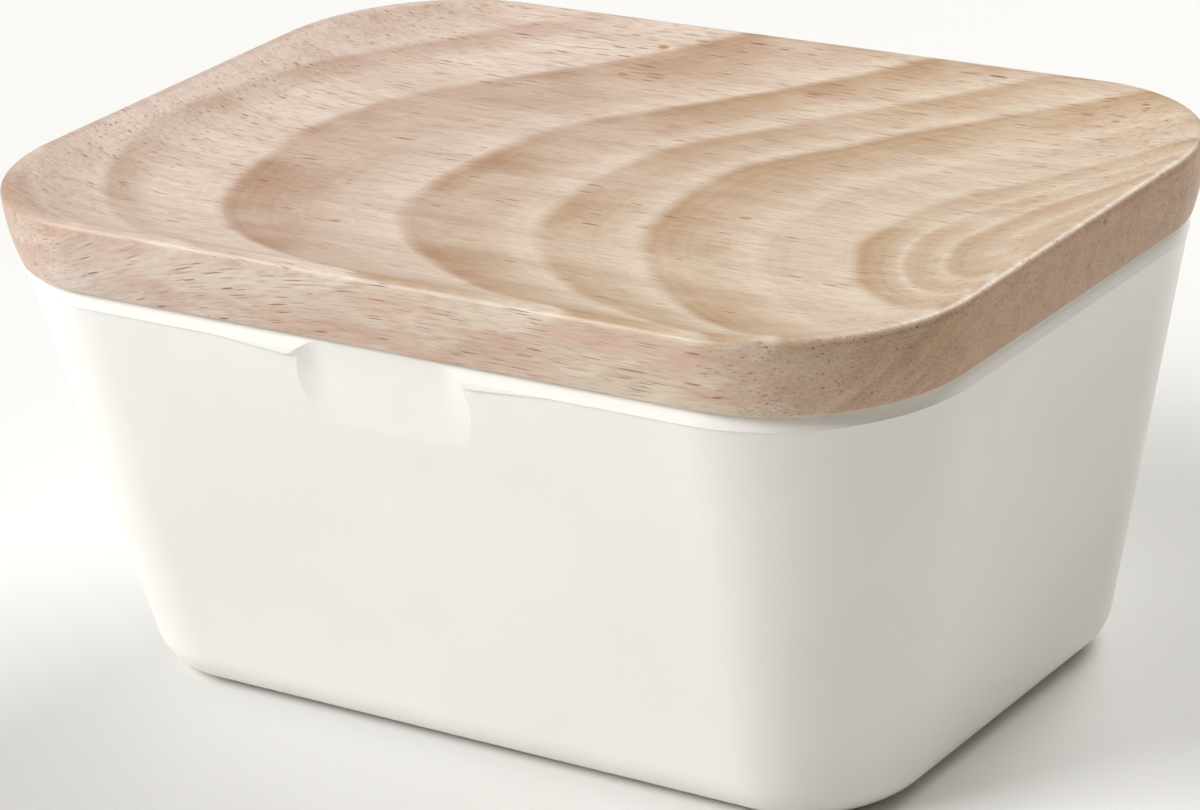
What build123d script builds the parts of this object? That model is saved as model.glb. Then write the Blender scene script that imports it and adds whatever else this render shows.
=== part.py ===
from build123d import *
import math
import os

os.makedirs("parts", exist_ok=True)

# A lidded butter box: a moulded box with drafted walls, a solid wooden lid with a
# dished top, and a silicone ring in a groove round the lid's plug. Millimetres.
# X runs along the long side, Y across it, Z up. The origin is the centre of the base.

# Box, outside
RIM_LENGTH = 155.0          # widest outline, at the lower edge of the band
RIM_WIDTH = 109.3
RIM_RADIUS = 26.9
RIM_HEIGHT = 66.5           # top of the rim, where the lid rests
BAND_HEIGHT = 2.2           # bright band round the top of the wall
BAND_LEAN = 0.8             # the band leans in by this much over its height
BAND_STEP = 0.15            # the wall starts this far inside the band
BAND_DIP = 0.9              # the band is deeper beside each notch
BAND_DIP_LENGTH = 13.0
BAND_DIP_INSET = 1.0        # the dip is deepest this far inside the notch's end
WALL_DRAFT = 10.9           # degrees, the lean of the wall below the band
BASE_RADIUS = 18.0          # corner radius of the wall at the level of the base
BASE_FILLET = 7.0

# Box, inside
RIM_THICKNESS = 4.2
FLOOR_THICKNESS = 3.6
FOOT_WALL = 3.4             # wall thickness at the level of the floor
INSIDE_FILLET = 6.0
RIM_INNER_FILLET = 0.8

# Recess under the box that leaves a ring to stand on
FOOT_RECESS = 0.7
FOOT_INSET = 13.0
FOOT_RADIUS = 9.0

# Thumb notch in the middle of each long side
NOTCH_FLAT = 19.5           # width of its flat middle
NOTCH_WIDTH = 33.5          # over the whole of both S-curves
NOTCH_START = 1.5           # the cutter starts this far above the rim
NOTCH_LEVELS = (0.0, 4.0, 7.0, 10.0, 13.0, 16.0)        # heights below the cutter's start
NOTCH_DEPTHS = (0.80, 0.80, 0.72, 0.42, 0.12, -0.10)    # depth of the flat middle there
NOTCH_CLEARS = (0.50, 0.42, 0.14, 0.10, 0.10, 0.10)     # gap from the S-curves' ends to the wall
NOTCH_REACH = 6.0           # outer side of the cutter

# Lid
LID_THICKNESS = 11.3
LID_FOOT_OUTSET = 0.0       # lid's lower edge outside the rim outline
LID_BELLY_OUTSET = 1.5
LID_TOP_OUTSET = 2.0
LID_FOOT_FILLET = 0.6
LID_BELLY_SHARE = 0.5       # height of the belly, as a share of the thickness
LID_CREST_FILLET = 1.2
LID_RADIUS = 27.6
CREST_WIDTH = 2.0           # crest between the side and the dish
CREST_INNER_FILLET = 1.6

# Dish in the lid's top
DISH_DEPTH = 4.7
DISH_REACH = 44.0           # distance from the crest to the middle of the dish
DISH_POWER = 4.8
DISH_SHARES = (0.0, 0.06, 0.13, 0.22, 0.34, 0.50, 0.72, 1.0)
DISH_RADIUS_LOSS = 0.45     # corner radius lost for each millimetre inward

# Plug and seal
PLUG_HEIGHT = 6.0
PLUG_INSET = 5.9            # from the rim outline
PLUG_CHAMFER = 0.8
GROOVE_BOTTOM = 1.6         # above the plug's underside
GROOVE_HEIGHT = 2.6
GROOVE_DEPTH = 2.0
SEAL_GAP = 0.3              # between the seal's lips and the wall
LIP_HEIGHT = 0.8
LIP_FILLET = 0.35

LID_TOP = RIM_HEIGHT + LID_THICKNESS
PLUG_BOTTOM = RIM_HEIGHT - PLUG_HEIGHT
GROOVE_LEVEL = PLUG_BOTTOM + GROOVE_BOTTOM
BAND_BOTTOM = RIM_HEIGHT - BAND_HEIGHT
DRAFT_SLOPE = math.tan(math.radians(WALL_DRAFT))
BASE_INSET = BAND_STEP + BAND_BOTTOM * DRAFT_SLOPE


def outline(inset, radius, mode=Mode.ADD):
    """Rounded rectangle a given distance inside the rim outline."""
    RectangleRounded(RIM_LENGTH - 2 * inset, RIM_WIDTH - 2 * inset, radius, mode=mode)


def wall_inset(height):
    """Distance from the rim outline to the outside of the wall at a height."""
    return BAND_STEP + (BAND_BOTTOM - height) * DRAFT_SLOPE


def hollow_inset(height):
    """Distance from the rim outline to the inside of the wall at a height."""
    floor_inset = wall_inset(FLOOR_THICKNESS) + FOOT_WALL
    share = (RIM_HEIGHT - height) / (RIM_HEIGHT - FLOOR_THICKNESS)
    return RIM_THICKNESS + share * (floor_inset - RIM_THICKNESS)


# Thumb notch: an S-curve on each side of a flat middle, fading out downwards
with BuildPart() as notch:
    for drop, depth, clear in zip(NOTCH_LEVELS, NOTCH_DEPTHS, NOTCH_CLEARS):
        level = RIM_HEIGHT + NOTCH_START - drop
        wall_y = wall_inset(level) - RIM_WIDTH / 2
        flat_y = wall_y + depth
        end_y = wall_y - clear
        flat_x = NOTCH_FLAT / 2
        end_x = NOTCH_WIDTH / 2
        turn_x = (flat_x + end_x) / 2
        with BuildSketch(Plane.XY.offset(level)):
            with BuildLine():
                Bezier((-end_x, end_y), (-turn_x, end_y), (-turn_x, flat_y), (-flat_x, flat_y))
                Line((-flat_x, flat_y), (flat_x, flat_y))
                Bezier((flat_x, flat_y), (turn_x, flat_y), (turn_x, end_y), (end_x, end_y))
                Line((end_x, end_y), (end_x, end_y - NOTCH_REACH))
                Line((end_x, end_y - NOTCH_REACH), (-end_x, end_y - NOTCH_REACH))
                Line((-end_x, end_y - NOTCH_REACH), (-end_x, end_y))
            make_face()
    loft()

# Box: drafted wall, band, foot ring, hollow and notches
with BuildPart() as box:
    with BuildSketch(Plane.XY):
        outline(BASE_INSET, BASE_RADIUS)
    with BuildSketch(Plane.XY.offset(BAND_BOTTOM)):
        outline(BAND_STEP, RIM_RADIUS - BAND_STEP)
    loft()
    fillet(box.faces().sort_by(Axis.Z)[0].edges(), radius=BASE_FILLET)
    with BuildSketch(Plane.XY.offset(BAND_BOTTOM)):
        outline(0, RIM_RADIUS)
    with BuildSketch(Plane.XY.offset(RIM_HEIGHT)):
        outline(BAND_LEAN, RIM_RADIUS - BAND_LEAN)
    loft()
    # the band's lower edge dips beside the notches
    with BuildSketch(Plane.XZ):
        with BuildLine():
            dip_x = NOTCH_WIDTH / 2 - BAND_DIP_INSET
            Line((-dip_x - BAND_DIP_LENGTH, BAND_BOTTOM), (-dip_x, BAND_BOTTOM - BAND_DIP))
            Line((-dip_x, BAND_BOTTOM - BAND_DIP), (dip_x, BAND_BOTTOM - BAND_DIP))
            Line((dip_x, BAND_BOTTOM - BAND_DIP), (dip_x + BAND_DIP_LENGTH, BAND_BOTTOM))
            Line((dip_x + BAND_DIP_LENGTH, BAND_BOTTOM), (-dip_x - BAND_DIP_LENGTH, BAND_BOTTOM))
        make_face()
    extrude(amount=RIM_WIDTH / 2, both=True)

    with BuildSketch(Plane.XY):
        outline(BASE_INSET + FOOT_INSET, FOOT_RADIUS)
    extrude(amount=FOOT_RECESS, mode=Mode.SUBTRACT)

    with BuildSketch(Plane.XY.offset(FLOOR_THICKNESS)):
        outline(hollow_inset(FLOOR_THICKNESS), BASE_RADIUS - FOOT_WALL)
    with BuildSketch(Plane.XY.offset(RIM_HEIGHT)):
        outline(hollow_inset(RIM_HEIGHT), RIM_RADIUS - RIM_THICKNESS)
    loft(mode=Mode.SUBTRACT)
    floor = box.faces().filter_by_position(Axis.Z, FLOOR_THICKNESS, FLOOR_THICKNESS)[0]
    fillet(floor.edges(), radius=INSIDE_FILLET)
    rim = box.faces().filter_by_position(Axis.Z, RIM_HEIGHT, RIM_HEIGHT)[0]
    fillet(rim.inner_wires()[0].edges(), radius=RIM_INNER_FILLET)
    add(notch.part, mode=Mode.SUBTRACT)
    add(notch.part.mirror(Plane.XZ), mode=Mode.SUBTRACT)
box.part.label = "box"
export_step(box.part, "parts/box.step")

# Lid: board with a slightly swelling side, dish in the top, plug and groove below
with BuildPart() as lid:
    outsets = (LID_FOOT_OUTSET, LID_BELLY_OUTSET, LID_TOP_OUTSET)
    for share, outset in zip((0.0, LID_BELLY_SHARE, 1.0), outsets):
        with BuildSketch(Plane.XY.offset(RIM_HEIGHT + share * LID_THICKNESS)):
            outline(-outset, LID_RADIUS - LID_TOP_OUTSET + outset)
    loft()
    for share in DISH_SHARES:
        inward = CREST_WIDTH + share * DISH_REACH
        drop = DISH_DEPTH * (1 - (1 - share) ** DISH_POWER)
        with BuildSketch(Plane.XY.offset(LID_TOP - drop)):
            outline(inward - LID_TOP_OUTSET, LID_RADIUS - inward * DISH_RADIUS_LOSS)
    loft(mode=Mode.SUBTRACT)
    crest = lid.faces().sort_by(Axis.Z)[-1]
    fillet(crest.inner_wires()[0].edges(), radius=CREST_INNER_FILLET)
    crest = lid.faces().sort_by(Axis.Z)[-1]
    fillet(crest.outer_wire().edges(), radius=LID_CREST_FILLET)
    foot = lid.faces().sort_by(Axis.Z)[0]
    fillet(foot.edges(), radius=LID_FOOT_FILLET)
    with BuildSketch(Plane.XY.offset(PLUG_BOTTOM)):
        outline(PLUG_INSET, RIM_RADIUS - PLUG_INSET)
    extrude(amount=PLUG_HEIGHT)
    chamfer(lid.faces().sort_by(Axis.Z)[0].edges(), length=PLUG_CHAMFER)
    with BuildSketch(Plane.XY.offset(GROOVE_LEVEL)):
        outline(PLUG_INSET, RIM_RADIUS - PLUG_INSET)
        outline(PLUG_INSET + GROOVE_DEPTH, RIM_RADIUS - PLUG_INSET - GROOVE_DEPTH, Mode.SUBTRACT)
    extrude(amount=GROOVE_HEIGHT, mode=Mode.SUBTRACT)
lid.part.label = "lid"
export_step(lid.part, "parts/lid.step")

# Seal: fills the groove, with two rounded lips that almost reach the box's inside
with BuildPart() as seal:
    with BuildSketch(Plane.XY.offset(GROOVE_LEVEL)):
        outline(PLUG_INSET, RIM_RADIUS - PLUG_INSET)
    extrude(amount=GROOVE_HEIGHT)
    for lip_level in (GROOVE_LEVEL, GROOVE_LEVEL + GROOVE_HEIGHT - LIP_HEIGHT):
        lip_inset = hollow_inset(lip_level) + SEAL_GAP
        with BuildSketch(Plane.XY.offset(lip_level)):
            outline(lip_inset, RIM_RADIUS - lip_inset)
        extrude(amount=LIP_HEIGHT)
        lip_side = seal.faces().filter_by_position(Axis.X, *2 * [RIM_LENGTH / 2 - lip_inset])
        fillet(lip_side.edges().filter_by(Axis.Y), radius=LIP_FILLET)
    core_inset = PLUG_INSET + GROOVE_DEPTH
    with BuildSketch(Plane.XY.offset(GROOVE_LEVEL)):
        outline(core_inset, RIM_RADIUS - core_inset)
    extrude(amount=GROOVE_HEIGHT, mode=Mode.SUBTRACT)
seal.part.label = "seal"
export_step(seal.part, "parts/seal.step")
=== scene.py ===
"""Looks of a lidded butter box: satin moulded box, oiled wooden lid, silicone ring.

Metres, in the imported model's frame: X along the long side, Z up, origin at the base's centre.
Patterns in the materials are laid out in millimetres, in each node's own coordinates.
"""
import math

import bpy
from mathutils import Matrix, Vector

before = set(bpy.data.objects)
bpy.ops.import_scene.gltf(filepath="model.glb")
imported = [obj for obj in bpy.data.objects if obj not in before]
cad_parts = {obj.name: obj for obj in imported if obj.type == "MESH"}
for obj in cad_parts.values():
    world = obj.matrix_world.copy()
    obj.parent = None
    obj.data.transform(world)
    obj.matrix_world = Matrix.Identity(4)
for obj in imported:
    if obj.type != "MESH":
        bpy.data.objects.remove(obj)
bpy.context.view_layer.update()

MM = 0.001

# ---------------------------------------------------------------- node helpers


class Shader:
    """Builds one material's nodes. Every maker returns an output socket."""

    def __init__(self, name):
        self.material = bpy.data.materials.new(name)
        self.material.use_nodes = True
        self.tree = self.material.node_tree
        self.tree.nodes.clear()
        self.output = self.tree.nodes.new("ShaderNodeOutputMaterial")
        self.bsdf = self.tree.nodes.new("ShaderNodeBsdfPrincipled")
        self.tree.links.new(self.bsdf.outputs[0], self.output.inputs[0])

    def put(self, socket, value):
        """Links a socket, or sets a constant."""
        if isinstance(value, bpy.types.NodeSocket):
            self.tree.links.new(value, socket)
        else:
            socket.default_value = value

    def set(self, **inputs):
        """Sets the main shader's inputs by name, with _ for a space."""
        for name, value in inputs.items():
            self.put(self.bsdf.inputs[name.replace("_", " ")], value)

    def millimetres(self):
        """The node's own coordinates, in millimetres."""
        coords = self.tree.nodes.new("ShaderNodeTexCoord")
        return self.vector("MULTIPLY", coords.outputs["Object"], (1 / MM,) * 3)

    def vector(self, operation, first, second=(0, 0, 0)):
        node = self.tree.nodes.new("ShaderNodeVectorMath")
        node.operation = operation
        self.put(node.inputs[0], first)
        self.put(node.inputs[1], second)
        return node.outputs[0]

    def math(self, operation, first, second=0.0, third=0.0, clamp=False):
        node = self.tree.nodes.new("ShaderNodeMath")
        node.operation = operation
        node.use_clamp = clamp
        for socket, value in zip(node.inputs, (first, second, third)):
            self.put(socket, value)
        return node.outputs[0]

    def axes(self, vector):
        node = self.tree.nodes.new("ShaderNodeSeparateXYZ")
        self.put(node.inputs[0], vector)
        return node.outputs

    def noise(self, vector, size, detail=2.0, rough=0.5, seed=0.0):
        """Noise with features about size (x, y, z) millimetres across, from 0 to 1."""
        scaled = self.vector("DIVIDE", vector, size)
        moved = self.vector("ADD", scaled, (seed, -seed, 2 * seed))
        node = self.tree.nodes.new("ShaderNodeTexNoise")
        self.put(node.inputs["Vector"], moved)
        self.put(node.inputs["Scale"], 1.0)
        self.put(node.inputs["Detail"], detail)
        self.put(node.inputs["Roughness"], rough)
        return node.outputs["Fac"]

    def line_noise(self, position, size, detail=2.0, rough=0.5):
        """Noise that varies with one number only."""
        node = self.tree.nodes.new("ShaderNodeTexNoise")
        node.noise_dimensions = "1D"
        self.put(node.inputs["W"], self.math("DIVIDE", position, size))
        self.put(node.inputs["Scale"], 1.0)
        self.put(node.inputs["Detail"], detail)
        self.put(node.inputs["Roughness"], rough)
        return node.outputs["Fac"]

    def cells(self, vector, size, seed=0.0):
        """Distance to the nearest cell's centre, in cells, and that cell's random colour."""
        scaled = self.vector("DIVIDE", vector, size)
        moved = self.vector("ADD", scaled, (seed, seed, seed))
        node = self.tree.nodes.new("ShaderNodeTexVoronoi")
        self.put(node.inputs["Vector"], moved)
        self.put(node.inputs["Scale"], 1.0)
        return node.outputs["Distance"], node.outputs["Color"]

    def remap(self, value, low, high, to_low=0.0, to_high=1.0, smooth=True):
        node = self.tree.nodes.new("ShaderNodeMapRange")
        node.interpolation_type = "SMOOTHSTEP" if smooth else "LINEAR"
        for socket, number in zip(node.inputs, (value, low, high, to_low, to_high)):
            self.put(socket, number)
        return node.outputs[0]

    def spread(self, noise, reach):
        """Noise turned into a shift of up to reach either way."""
        return self.remap(noise, 0.2, 0.8, -reach, reach, smooth=False)

    def mix(self, share, first, second, blend="MIX"):
        node = self.tree.nodes.new("ShaderNodeMix")
        node.data_type = "RGBA"
        node.blend_type = blend
        node.clamp_factor = True
        self.put(node.inputs[0], share)
        self.put(node.inputs[6], first)
        self.put(node.inputs[7], second)
        return node.outputs[2]

    def ramp(self, value, stops, smooth=False):
        """Colour ramp from (position, colour) stops."""
        node = self.tree.nodes.new("ShaderNodeValToRGB")
        node.color_ramp.interpolation = "EASE" if smooth else "LINEAR"
        elements = node.color_ramp.elements
        while len(elements) < len(stops):
            elements.new(0.5)
        for element, (position, colour) in zip(elements, stops):
            element.position = position
            element.color = colour
        self.put(node.inputs[0], value)
        return node.outputs[0]

    def bump(self, height, strength, distance, normal=None):
        node = self.tree.nodes.new("ShaderNodeBump")
        self.put(node.inputs["Strength"], strength)
        self.put(node.inputs["Distance"], distance)
        self.put(node.inputs["Height"], height)
        if normal is not None:
            self.put(node.inputs["Normal"], normal)
        return node.outputs[0]


def rgb(red, green, blue):
    """Linear colour from an 8-bit display colour."""
    def linear(value):
        share = value / 255
        return share / 12.92 if share <= 0.04045 else ((share + 0.055) / 1.055) ** 2.4
    return (linear(red), linear(green), linear(blue), 1.0)


# ---------------------------------------------------------------- wood

STRAW = rgb(222, 208, 189)
ROSE_STRAW = rgb(223, 207, 194)
TAN = rgb(171, 138, 114)
OCHRE = rgb(179, 148, 113)
PORE = rgb(134, 78, 55)
SPECK = rgb(172, 122, 72)
BLUSH = rgb(208, 172, 153)
END_GRAIN = rgb(228, 202, 180)

# where each growth ring begins along the lid's middle line, in mm from the lid's centre,
# with how dark its first wood is
RINGS = ((-132, 0.5), (-112, 0.6), (-98, 0.4), (-79, 0.6), (-66, 0.0), (-51, 0.9), (-17, 1.0),
         (4.5, 0.8), (20, 0.85), (39, 0.35), (52, 0.85), (58.5, 0.65), (63.5, 0.7), (69, 0.55),
         (78, 0.5), (98, 0.5))
RING_SPAN = (-150.0, 115.0)
RING_BOW = 0.0128           # how fast a ring bends away from the middle line, per mm squared
RING_LEAN = 2.0             # how far a ring leans towards +X for each mm of height
RING_CREST = (2.0, 74.0)    # the middle line's Y and Z, mm
DRIFT = 6.0                 # wide and fine wandering of the rings, mm
RIPPLE = 0.9


def ring_position(shader, place):
    """A number that is the same all over one growth surface: the place along X where that
    surface cuts the lid's middle line. The rings open towards +X."""
    x, y, z = shader.axes(place)
    drift = shader.noise(place, (90, 55, 30), detail=1.0, seed=3.1)
    ripple = shader.noise(place, (26, 12, 12), detail=2.0, seed=7.7)
    middle_y, middle_z = RING_CREST
    across = shader.math("SUBTRACT", y, middle_y)
    square = shader.math("MULTIPLY", across, across)
    ring = shader.math("MULTIPLY_ADD", square, -RING_BOW, x)
    height = shader.math("SUBTRACT", z, middle_z)
    ring = shader.math("MULTIPLY_ADD", height, -RING_LEAN, ring)
    ring = shader.math("ADD", ring, shader.spread(drift, DRIFT))
    return shader.math("ADD", ring, shader.spread(ripple, RIPPLE))


def growth_rings(shader, ring):
    """0 in pale wood, 1 in the dark wood at the start of a ring, with fine lines between."""
    low, high = RING_SPAN
    stops = []
    for (start, dark), (following, _) in zip(RINGS, RINGS[1:]):
        width = following - start
        stops.append((start, dark))
        stops.append((start + 0.5 * width, 0.6 * dark))
        stops.append((following - min(2.5, 0.2 * width), 0.06))
    ramps = []
    half = len(stops) // 2
    split = stops[half][0]
    for part in (stops[:half + 1], stops[half:]):
        tones = [((at - low) / (high - low), (tone, tone, tone, 1)) for at, tone in part]
        ramps.append(shader.ramp(shader.remap(ring, low, high, smooth=False), tones))
    beyond = shader.math("GREATER_THAN", ring, split)
    bands = shader.mix(beyond, ramps[0], ramps[1])
    lines = shader.line_noise(ring, 1.5, detail=3.0, rough=0.65)
    fine = shader.remap(lines, 0.35, 0.7, -0.05, 0.05)
    return shader.math("ADD", bands, fine, clamp=True)


def dashes(shader, place, size, reach, chance, tones, seed):
    """Ellipsoids one to a cell: 1 inside, 0 outside. Long along X, so that they show as
    dashes along the grain and as dots across it. Returns their shape and their darkness."""
    near, random = shader.cells(place, size, seed=seed)
    luck, scale, tone = shader.axes(random)
    core = shader.math("DIVIDE", near, shader.remap(scale, 0, 1, *reach, smooth=False))
    inside = shader.remap(core, 0.5, 1.0, 1.0, 0.0)
    there = shader.math("GREATER_THAN", luck, chance)
    inside = shader.math("MULTIPLY", inside, there)
    return inside, shader.math("MULTIPLY", inside, shader.remap(tone, 0, 1, *tones, smooth=False))


def wood():
    """Pale timber: growth rings, fibres, pores and specks, all carried through the board."""
    shader = Shader("oiled_wood")
    place = shader.millimetres()
    x, y, _ = shader.axes(place)
    geometry = shader.tree.nodes.new("ShaderNodeNewGeometry")
    facing_x, facing_y, _ = shader.axes(geometry.outputs["Normal"])
    side = shader.math("POWER", shader.math("ABSOLUTE", facing_y), 2.0)
    end = shader.math("POWER", shader.math("ABSOLUTE", facing_x), 2.0)
    edgewise = shader.math("MAXIMUM", side, end)
    ring = ring_position(shader, place)
    rings = growth_rings(shader, ring)

    # the rings fade in places, and hardly show on the sides
    fade = shader.noise(place, (24, 14, 14), detail=2.0, seed=2.7)
    rings = shader.math("MULTIPLY", rings, shader.remap(fade, 0.35, 0.6, 0.6, 1.1))
    rings = shader.math("MULTIPLY", rings, shader.math("MULTIPLY_ADD", edgewise, -0.6, 1.0))

    # rosier towards -X, yellower towards +X
    patch = shader.noise(place, (46, 30, 30), detail=2.0, seed=1.3)
    yellow = shader.remap(shader.math("MULTIPLY_ADD", patch, 60.0, x), -20, 75)
    pale = shader.mix(yellow, ROSE_STRAW, STRAW)
    dark = shader.mix(yellow, TAN, OCHRE)
    colour = shader.mix(rings, pale, dark)
    blush = shader.noise(place, (15, 5, 5), detail=2.0, seed=4.9)
    blush = shader.math("MULTIPLY", shader.remap(blush, 0.42, 0.66, 0.0, 0.75), side)
    colour = shader.mix(blush, colour, BLUSH)

    # the fibres run along X, and dip towards -X on the long sides
    left = shader.math("MINIMUM", shader.math("SUBTRACT", x, 10.0), 0.0)
    dip = shader.math("MULTIPLY", shader.math("MULTIPLY", left, left), 0.0035)
    shift = shader.tree.nodes.new("ShaderNodeCombineXYZ")
    shader.put(shift.inputs[2], shader.math("MULTIPLY", dip, side))
    grain = shader.vector("ADD", place, shift.outputs[0])
    fibre = shader.noise(grain, (30, 0.55, 0.55), detail=3.0, rough=0.6, seed=5.5)
    short = shader.noise(grain, (3.2, 0.34, 0.34), detail=2.0, rough=0.6, seed=3.8)
    streak = shader.noise(grain, (60, 3.2, 3.2), detail=3.0, rough=0.6, seed=9.4)
    colour = shader.mix(shader.remap(fibre, 0.35, 0.75, 0.0, 0.24), colour, TAN)
    colour = shader.mix(shader.remap(short, 0.45, 0.72, 0.0, 0.42), colour, TAN)
    colour = shader.mix(shader.remap(streak, 0.40, 0.70, 0.0, 0.28), colour, TAN)
    colour = shader.mix(shader.remap(short, 0.48, 0.25, 0.0, 0.22), colour, STRAW)

    # pores: many fine ones, fewer deep ones, a few ochre specks. They crowd towards -X and
    # the back, and on the sides
    edge = shader.math("MAXIMUM", shader.remap(x, -30, -58), shader.remap(y, 12, 36))
    edge = shader.math("MAXIMUM", edge, edgewise)
    region = shader.noise(place, (40, 16, 16), detail=1.0, seed=6.6)
    crowd = shader.math("MULTIPLY_ADD", edge, -0.50, shader.remap(region, 0.35, 0.65, 0.85, 0.50))
    hair, hair_tone = dashes(shader, grain, (8.5, 0.42, 0.42), (0.14, 0.38), crowd, (0.2, 0.75), 2.2)
    deep, deep_tone = dashes(shader, grain, (9.0, 1.0, 1.0), (0.10, 0.24), crowd, (0.35, 0.85), 4.7)
    speck, speck_tone = dashes(shader, place, (17.0, 9.0, 7.0), (0.05, 0.10), 0.5, (0.4, 0.8), 8.1)
    colour = shader.mix(hair_tone, colour, PORE)
    colour = shader.mix(deep_tone, colour, PORE)
    colour = shader.mix(speck_tone, colour, SPECK)

    # end grain drinks more oil and is darker
    colour = shader.mix(end, colour, END_GRAIN, "MULTIPLY")

    pits = shader.math("ADD", hair, deep, clamp=True)
    height = shader.math("MULTIPLY_ADD", pits, -0.6, shader.math("MULTIPLY", fibre, 0.35))
    rough = shader.math("MULTIPLY_ADD", rings, -0.05, shader.remap(fibre, 0.3, 0.7, 0.33, 0.43))
    shader.set(Base_Color=colour, Roughness=rough, IOR=1.45,
               Normal=shader.bump(height, 0.3, 0.2 * MM))
    return shader.material


# ---------------------------------------------------------------- moulded box and seal


def moulded():
    """Satin off-white plastic with faint clouding and a barely uneven surface."""
    shader = Shader("satin_moulded")
    place = shader.millimetres()
    cloud = shader.noise(place, (34, 34, 34), detail=2.0, seed=4.4)
    speck = shader.noise(place, (0.5, 0.5, 0.5), detail=2.0, seed=8.8)
    swell = shader.noise(place, (22, 22, 22), detail=1.0, seed=6.1)
    colour = shader.mix(shader.remap(cloud, 0.3, 0.7), rgb(242, 240, 235), rgb(239, 236, 230))
    rough = shader.remap(cloud, 0.3, 0.7, 0.34, 0.42)
    fine = shader.bump(speck, 0.10, 0.04 * MM)
    shader.set(Base_Color=colour, Roughness=rough, IOR=1.5,
               Normal=shader.bump(swell, 0.05, 0.4 * MM, fine))
    return shader.material


def silicone():
    """Milky rubber with a dusty grain."""
    shader = Shader("milky_silicone")
    place = shader.millimetres()
    cloud = shader.noise(place, (9, 9, 2), detail=2.0, seed=2.9)
    grain = shader.noise(place, (0.3, 0.3, 0.3), detail=1.0, seed=9.1)
    colour = shader.mix(cloud, rgb(226, 226, 220), rgb(214, 215, 210))
    shader.set(Base_Color=colour, Roughness=shader.remap(cloud, 0.3, 0.7, 0.45, 0.6),
               IOR=1.41, Subsurface_Weight=0.3, Subsurface_Scale=1.5 * MM,
               Normal=shader.bump(grain, 0.15, 0.05 * MM))
    return shader.material


def give(node, material):
    """Puts one material on a CAD node."""
    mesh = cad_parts[node].data
    mesh.materials.clear()
    mesh.materials.append(material)


give("box", moulded())
give("lid", wood())
give("seal", silicone())

# ---------------------------------------------------------------- floor, lights, camera

FLOOR_SIZE = 4.0

SOFTBOX_SIZE = 2.4
SOFTBOX_DISTANCE = 4.0
LIGHT_TARGET = Vector((0, 0, 40)) * MM

CAMERA_TARGET = Vector((-6.55, 5.36, 35.0)) * MM
CAMERA_DISTANCE = 670.75 * MM
CAMERA_AZIMUTH = 36.05
CAMERA_ELEVATION = 21.92
CAMERA_ROLL = -4.28
LENS = 134.97


def direction(azimuth, elevation):
    """Unit vector, in degrees. Azimuth 0 is in front (-Y), 90 is at +X."""
    around, up = math.radians(azimuth), math.radians(elevation)
    return Vector((math.sin(around) * math.cos(up), -math.cos(around) * math.cos(up), math.sin(up)))


def floor():
    """A pale table under the box."""
    bpy.ops.mesh.primitive_plane_add(size=FLOOR_SIZE, location=(0, 0, 0))
    plane = bpy.context.object
    plane.name = "floor"
    shader = Shader("pale_table")
    place = shader.millimetres()
    cloud = shader.noise(place, (300, 300, 300), detail=2.0)
    shader.set(Base_Color=shader.mix(cloud, rgb(229, 228, 225), rgb(225, 224, 221)), Roughness=0.6)
    plane.data.materials.append(shader.material)


def softbox(name, azimuth, elevation, power, tint=(1, 1, 1)):
    """Square area light aimed at the box."""
    lamp = bpy.data.lights.new(name, "AREA")
    lamp.size = SOFTBOX_SIZE
    lamp.energy = power
    lamp.color = tint
    away = direction(azimuth, elevation)
    light = bpy.data.objects.new(name, lamp)
    light.location = LIGHT_TARGET + SOFTBOX_DISTANCE * away
    light.rotation_euler = away.to_track_quat("Z", "Y").to_euler()
    bpy.context.scene.collection.objects.link(light)


def surroundings(strength):
    """Even white light from all round."""
    world = bpy.data.worlds.new("studio")
    world.use_nodes = True
    world.node_tree.nodes["Background"].inputs[0].default_value = (1, 1, 1, 1)
    world.node_tree.nodes["Background"].inputs[1].default_value = strength
    bpy.context.scene.world = world


def camera():
    """Camera that looks at its target, turned about its own axis by the roll."""
    back = direction(CAMERA_AZIMUTH, CAMERA_ELEVATION)
    level = Vector((0, 0, 1)).cross(back).normalized()
    upright = back.cross(level)
    roll = math.radians(CAMERA_ROLL)
    right = math.cos(roll) * level + math.sin(roll) * upright
    top = math.cos(roll) * upright - math.sin(roll) * level
    data = bpy.data.cameras.new("camera")
    data.lens = LENS
    data.sensor_width = 36.0
    data.clip_start = 0.01
    eye = bpy.data.objects.new("camera", data)
    turn = Matrix((right, top, back)).transposed().to_4x4()
    eye.matrix_world = Matrix.Translation(CAMERA_TARGET + CAMERA_DISTANCE * back) @ turn
    bpy.context.scene.collection.objects.link(eye)
    bpy.context.scene.camera = eye


floor()
surroundings(0.02)
softbox("key", azimuth=-40, elevation=40, power=148)
softbox("left", azimuth=-60, elevation=28, power=49)
softbox("back", azimuth=170, elevation=45, power=140)
softbox("fill", azimuth=105, elevation=28, power=17, tint=(1.0, 0.91, 0.74))
camera()
bpy.context.scene.view_settings.view_transform = "Standard"
